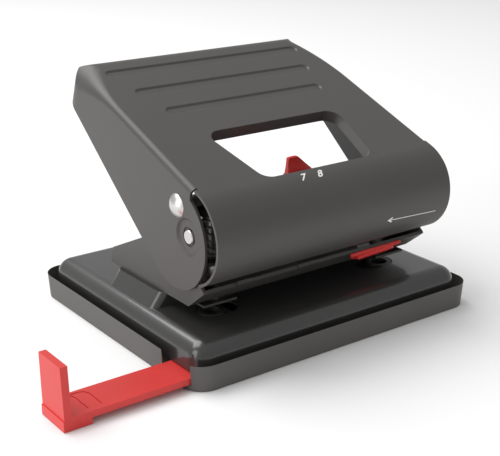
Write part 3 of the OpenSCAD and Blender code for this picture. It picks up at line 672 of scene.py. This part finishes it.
# ---------------------------------------------------------------------------
# Punch units. Each one is a folded steel carriage with a blackened die in its lower
# jaw, a hardened pin that slides through all three of its plates, and a coil spring
# under a plastic cap that lifts the pin again. The carriages slide along the base.

plain_steel, graph, shader = new_material("plain_steel", Metallic=1.0)
here = place(graph)
brushed = noise(graph, place(graph, (1, 1, 14)), 160, 4, 0.65)
patch = noise(graph, here, 70, 2)
feed(graph, shader, "Base Color", two_tone(graph, patch, (0.33, 0.325, 0.315), (0.44, 0.435, 0.425)))
feed(graph, shader, "Roughness", 0.34 + 0.2 * brushed)
bump(graph, shader, brushed, 0.12, 0.00003)

oiled_steel, graph, shader = new_material("oiled_steel", Metallic=0.8)
here = place(graph)
oxide = noise(graph, here, 240, 4, 0.6)
feed(graph, shader, "Base Color", two_tone(graph, oxide, (0.05, 0.048, 0.046), (0.1, 0.097, 0.093)))
feed(graph, shader, "Roughness", 0.34 + 0.2 * oxide)
bump(graph, shader, oxide, 0.08, 0.00002)

cap_plastic, graph, shader = new_material("cap_plastic")
here = place(graph)
grain = noise(graph, here, 1500, 2)
feed(graph, shader, "Base Color", two_tone(graph, grain, (0.03, 0.03, 0.03), (0.045, 0.044, 0.043)))
feed(graph, shader, "Roughness", 0.4 + 0.15 * grain)
bump(graph, shader, grain, 0.15, 0.00002)


def dress(node, material, edge=0.12):
    """Gives a carried-over node its finish and a small softened edge."""
    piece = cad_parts[node]
    for held in piece.material_slots:
        held.material = material
    piece.modifiers.new("closed", "WELD").merge_threshold = 1e-6
    if edge:
        soften = piece.modifiers.new("edges", "BEVEL")
        soften.width = edge / 1000
        soften.segments = 2
        soften.limit_method = "ANGLE"
        soften.angle_limit = math.radians(40)
        piece.modifiers.new("shading", "WEIGHTED_NORMAL").keep_sharp = True


HOLE = 40.0
SPRING_WIRE = 0.4
SPRING_MEAN = 3.9
SPRING_TURNS = 6
SPRING = (35.95, 51.05)

# Profiles as (radius, height)
die_profile = [(3.05, 12.7), (4.95, 12.7), (5.2, 12.95), (5.2, 15.0), (5.0, 15.2), (3.3, 15.2), (3.05, 14.95),
               (3.05, 12.7)]
cutter_profile = [(0, 20.8), (2.0, 20.6), (2.85, 20.0), (3.0, 20.1), (3.0, 53.3), (0, 53.3)]
cap_profile = [(3.02, 51.5), (5.1, 51.5), (5.4, 51.8), (5.4, 53.4), (5.25, 53.75), (4.8, 54.0), (0, 54.0),
               (0, 53.32), (3.02, 53.32), (3.02, 51.5)]

for side, name in SIDES:
    dress("carriage_" + name, oiled_steel)
    body = "carriage_" + name
    axis_foot = (side * HOLE, PUNCH_Y, 0)
    die = turned(die_profile, axis_foot, (0, 0, 1), 48)
    finish("die_ring_" + name, die, oiled_steel, body, ["die_" + name], edge=0)
    pin = turned(cutter_profile, axis_foot, (0, 0, 1), 40)
    finish("cutter_" + name, pin, bright_steel, "punch_" + name,
           ["punch_pin_" + name], edge=0)
    cap = turned(cap_profile, axis_foot, (0, 0, 1), 40)
    finish("cap_" + name, cap, cap_plastic, "punch_" + name, ["pin_cap_" + name], edge=0)

    coil = bmesh.new()
    centre = Vector((side * HOLE, PUNCH_Y, SPRING[0]))
    bmesh.ops.create_circle(coil, segments=10, radius=SPRING_WIRE, cap_ends=True,
                            matrix=Matrix.Translation(centre + Vector((SPRING_MEAN, 0, 0)))
                            @ Matrix.Rotation(math.pi / 2, 4, "X"))
    steps = SPRING_TURNS * 24
    bmesh.ops.spin(coil, geom=coil.faces[:] + coil.edges[:] + coil.verts[:], cent=centre, axis=(0, 0, side),
                   dvec=(0, 0, (SPRING[1] - SPRING[0]) / steps), angle=math.tau * SPRING_TURNS, steps=steps,
                   use_merge=False, use_duplicate=False)
    bmesh.ops.remove_doubles(coil, verts=coil.verts, dist=0.0005)
    bmesh.ops.recalc_face_normals(coil, faces=coil.faces)
    spring = finish("coil_" + name, coil, bright_steel, body, ["spring_" + name], edge=0)
    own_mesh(spring)

# ---------------------------------------------------------------------------
# Spacing selector. A flat steel lever on a shouldered stud pushes and pulls the two
# carriages through riveted links. Its red plastic pointer stands up into the window.

for node in ("selector_lever", "link_left", "link_right"):
    dress(node, plain_steel)
for node in ("selector_stud", "link_rivets_left", "link_rivets_right"):
    dress(node, bright_steel, 0.08)

red_plastic, graph, shader = new_material("red_plastic", IOR=1.48)
here = place(graph)
grain = noise(graph, here, 1700, 2)
cloud = noise(graph, here, 60, 2)
feed(graph, shader, "Base Color", two_tone(graph, cloud, (0.60, 0.030, 0.026), (0.68, 0.040, 0.034)))
feed(graph, shader, "Roughness", 0.32 + 0.12 * cloud)
bump(graph, shader, grain, 0.12, 0.00002)

POINTER_X = -1.9
ROUND_ROD = 14.4
POINTER_SHEET = 1.4
NECK = 60.7
TIP = 64.3
rear_tip, front_tip = (-24.9, TIP), (-26.2, TIP)
rear_neck, front_neck = (-24.2, NECK), (-25.6, NECK)
rise = across([(-17.0, 49.4), (-17.0, 52.3)] + arc(PIVOT, ROUND_ROD + POINTER_SHEET, 24, 44, 14) + [rear_neck]
              + corner(rear_neck, rear_tip, front_tip, 0.5, 4)
              + corner(rear_tip, front_tip, front_neck, 0.5, 4)
              + [front_neck] + arc(PIVOT, ROUND_ROD, 50, 14, 18), -9, 9)
right_tip, left_tip = (POINTER_X + 2, TIP), (POINTER_X - 1.9, TIP)
shoulder = (POINTER_X + 9.5, 58.2)
face = along([(POINTER_X - 5.4, 48.4), (POINTER_X + 6, 48.4), shoulder]
             + corner(shoulder, right_tip, left_tip, 1.4, 5)
             + corner(right_tip, left_tip, (POINTER_X - 2.3, 57.1), 0.8, 5)
             + [(POINTER_X - 1.6, 57.1), (POINTER_X - 5.4, 54.1)], -34, -14)
finish("pointer_tip", meet(rise, face), red_plastic, "lever", ["pointer"], edge=0.3)

# ---------------------------------------------------------------------------
# Paper guide. A red moulded bar that slides in the tray's rail, with an upright stop
# and a foot at its outer end, and two size marks sunk in its top.

GUIDE_END = -107.0
GUIDE_Y = (-50.5, -35.4)
GUIDE_Z = (2.2, 4.5)
STOP_HEIGHT = 22.0
STOP_DRAFT = 0.4
SIZE_MARKS = (0.6, 5.6)
MARK_DEEP = 0.35

bar = block((GUIDE_END - 0.5, GUIDE_Y[0], GUIDE_Z[0]), (-7, GUIDE_Y[1], GUIDE_Z[1]))
foot = block((GUIDE_END - 3, GUIDE_Y[0], 0), (GUIDE_END + 7, GUIDE_Y[1], 2.6))
stop_face = [(GUIDE_Y[0], 0), (GUIDE_Y[1], 0),
             (GUIDE_Y[1] - STOP_DRAFT, STOP_HEIGHT), (GUIDE_Y[0] + STOP_DRAFT, STOP_HEIGHT)]
stop = across(stop_face, GUIDE_END - 2.6, GUIDE_END)
for v in stop.verts:
    v.co.x -= STOP_DRAFT * v.co.z / STOP_HEIGHT
step = block((GUIDE_END - 3, GUIDE_Y[0], 0), (GUIDE_END - 1, GUIDE_Y[1], 3.6))
guide = weld(weld(bar, foot), stop, step)
for start in SIZE_MARKS:
    bend = arc((GUIDE_END + start + 3.2, GUIDE_Y[1] - 4.6), 3.2, 90, 0, 8)
    inner = arc((GUIDE_END + start + 3.2, GUIDE_Y[1] - 4.6), 2.7, 0, 90, 8)
    mark = ([(GUIDE_END + start + 0.6, GUIDE_Y[1] - 1.4)] + bend
            + [(GUIDE_END + start + 6.4, GUIDE_Y[0] + 2.4), (GUIDE_END + start + 5.9, GUIDE_Y[0] + 2.4)]
            + inner + [(GUIDE_END + start + 0.6, GUIDE_Y[1] - 1.9)])
    guide = cut(guide, upright(mark, GUIDE_Z[1] - MARK_DEEP, GUIDE_Z[1] + 1))
finish("guide_bar", guide, red_plastic, "guide", ["paper_guide"], edge=0.35)

# ---------------------------------------------------------------------------
# Handle lock. A red slider under the front flange carries a steel tongue through a
# slot; pushed sideways, the tongue's finger stops a small catch inside the rolled front.

FLANGE_ANGLE = math.degrees(math.atan2(LIP[1] - FLANGE_FOOT[1], LIP[0] - FLANGE_FOOT[0]))
LOCK = (14.0, 5.0)
# Corners as (across, up the flange, radius), from the slider's lower left
body_corners = [(0, 6.6, 0.5), (1.5, 4, 1), (5, 1, 4), (9, 0, 4), (14, 0.3, 4), (19, 2.6, 4), (24, 5.8, 1),
                (25, 7.2, 0.3), (24, 7.6, 0.3), (8, 7.2, 1)]
grip_corners = [(5, 3, 0.5), (7, 2, 1), (19, 4.2, 2), (22, 6.4, 0.6), (20, 6.8, 0.8), (8, 5, 1)]


def lock_layer(corners, low, high):
    """One layer of the slider, flat on the flange."""
    outline = rounded([(LOCK[0] + x, LOCK[1] + u) for x, u, _ in corners], [r for _, _, r in corners], 4)
    return upright(outline, low, high)


tongue_boss = block((21, 6.9, -1.5), (25, 9.1, 0.3))
slider = weld(lock_layer(body_corners, 0.1, 1.3), lock_layer(grip_corners, 1.1, 2.2), tongue_boss)
to_flange = (Matrix.Translation((0, *FLANGE_FOOT)) @ Matrix.Rotation(math.radians(FLANGE_ANGLE), 4, "X"))
bmesh.ops.transform(slider, matrix=to_flange, verts=slider.verts)
finish("lock_button", slider, red_plastic, "lock", ["lock_slider"], edge=0.3)
dress("lock_tongue", plain_steel)
dress("lock_catch", plain_steel)

# ---------------------------------------------------------------------------
# Stand, light and camera. The punch stands on a plain pale floor in a white room, with
# one soft lamp above and behind and a weaker one on the left. The camera looks down
# from the front left.

FLOOR_HALF = 3.0
CAMERA_LENS = 78.84
CAMERA_HEADING = -36.479
CAMERA_HEIGHT = 19.577
CAMERA_REACH = 0.42503
CAMERA_TARGET = (-0.00178, 0, 0.029574)

floor = bpy.data.meshes.new("floor")
bm = bmesh.new()
bmesh.ops.create_grid(bm, x_segments=1, y_segments=1, size=FLOOR_HALF)
bmesh.ops.translate(bm, verts=bm.verts, vec=(0, 0, -0.0002))
bm.to_mesh(floor)
floor_object = bpy.data.objects.new("floor", floor)
bpy.context.scene.collection.objects.link(floor_object)
pale, graph, shader = new_material("pale_floor", Roughness=0.9)
shader.inputs["Base Color"].default_value = (0.9, 0.9, 0.9, 1)
floor.materials.append(pale)

bpy.context.scene.view_settings.view_transform = "Standard"
world = bpy.data.worlds.new("studio")
world.use_nodes = True
world.node_tree.nodes["Background"].inputs["Color"].default_value = (1, 1, 1, 1)
world.node_tree.nodes["Background"].inputs["Strength"].default_value = 0.56
bpy.context.scene.world = world


def softbox(name, position, target, size, power):
    lamp = bpy.data.lights.new(name, "AREA")
    lamp.shape = "RECTANGLE"
    lamp.size, lamp.size_y = size
    lamp.energy = power
    light = bpy.data.objects.new(name, lamp)
    light.location = position
    light.rotation_euler = (Vector(target) - Vector(position)).to_track_quat("-Z", "Y").to_euler()
    bpy.context.scene.collection.objects.link(light)


softbox("overhead", (-0.35, 0.55, 1.1), (0, 0, 0.03), (1.1, 0.9), 13)
softbox("left", (-1.0, -0.05, 0.35), (0, 0, 0.04), (0.5, 0.7), 3.5)

camera = bpy.data.cameras.new("camera")
camera.sensor_width = 36
camera.lens = CAMERA_LENS
camera.clip_start = 0.01
view = bpy.data.objects.new("camera", camera)
heading, height = math.radians(CAMERA_HEADING), math.radians(CAMERA_HEIGHT)
level = Vector((math.sin(heading), -math.cos(heading), 0))
back = level * math.cos(height) + Vector((0, 0, math.sin(height)))
view.location = Vector(CAMERA_TARGET) + back * CAMERA_REACH
view.rotation_euler = (-back).to_track_quat("-Z", "Y").to_euler()
bpy.context.scene.collection.objects.link(view)
bpy.context.scene.camera = view
